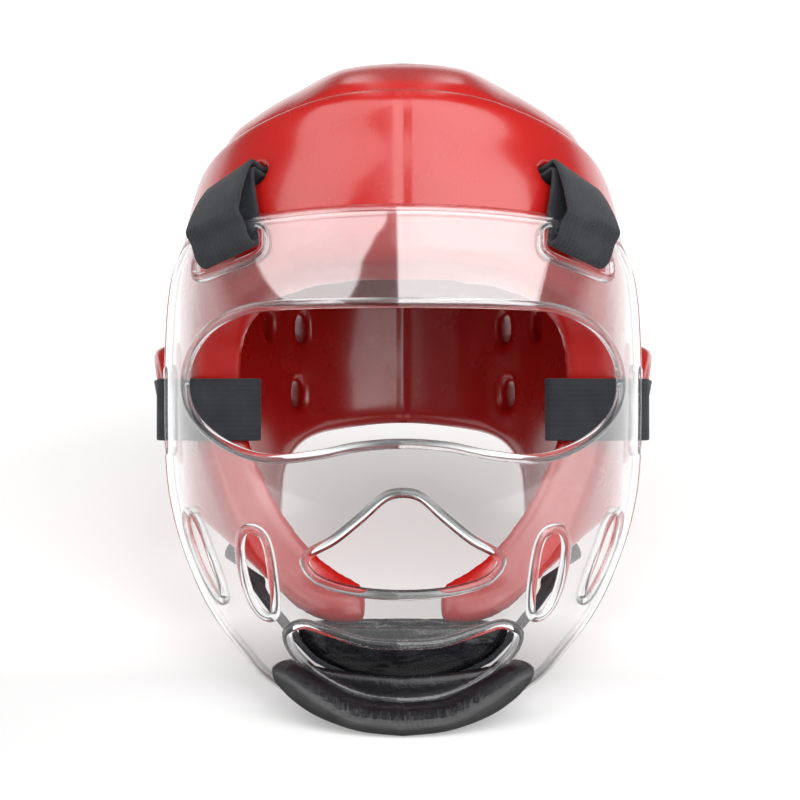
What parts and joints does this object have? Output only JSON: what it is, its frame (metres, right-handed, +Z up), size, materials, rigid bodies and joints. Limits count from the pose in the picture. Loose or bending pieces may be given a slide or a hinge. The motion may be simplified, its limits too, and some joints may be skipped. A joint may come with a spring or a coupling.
{
  "type": "sparring headgear with face shield",
  "caption": "Open-faced dipped-foam sparring headgear with ear guards, a clear vented face shield on webbing loops, a chin cup and a soft chin guard.",
  "frame": {"origin": "middle of the bounding box at its base, on the surface that the headgear rests on", "axes": "+Z up from the resting surface, +X to the wearer's left, -Y the way the face looks, tilted up by the rest"},
  "size_m": [0.2224, 0.295, 0.2353],
  "materials": {
    "dipped_foam": "glossy vinyl dip",
    "clear_shield": "clear polycarbonate",
    "webbing": "woven, matte",
    "cup_vinyl": "wrinkled vinyl",
    "guard_rubber": "matte skin"
  },
  "bodies": {
    "root": {"side_panel_left": "dipped_foam", "side_panel_right": "dipped_foam", "crown_panel": "dipped_foam", "ear_guard_left": "dipped_foam", "ear_guard_right": "dipped_foam", "face_shield": "clear_shield", "top_strap_left": "webbing", "top_strap_right": "webbing", "side_strap_left": "webbing", "side_strap_right": "webbing", "chin_strap": "webbing", "chin_cup": "cup_vinyl", "chin_guard": "guard_rubber"}
  },
  "joints": []
}
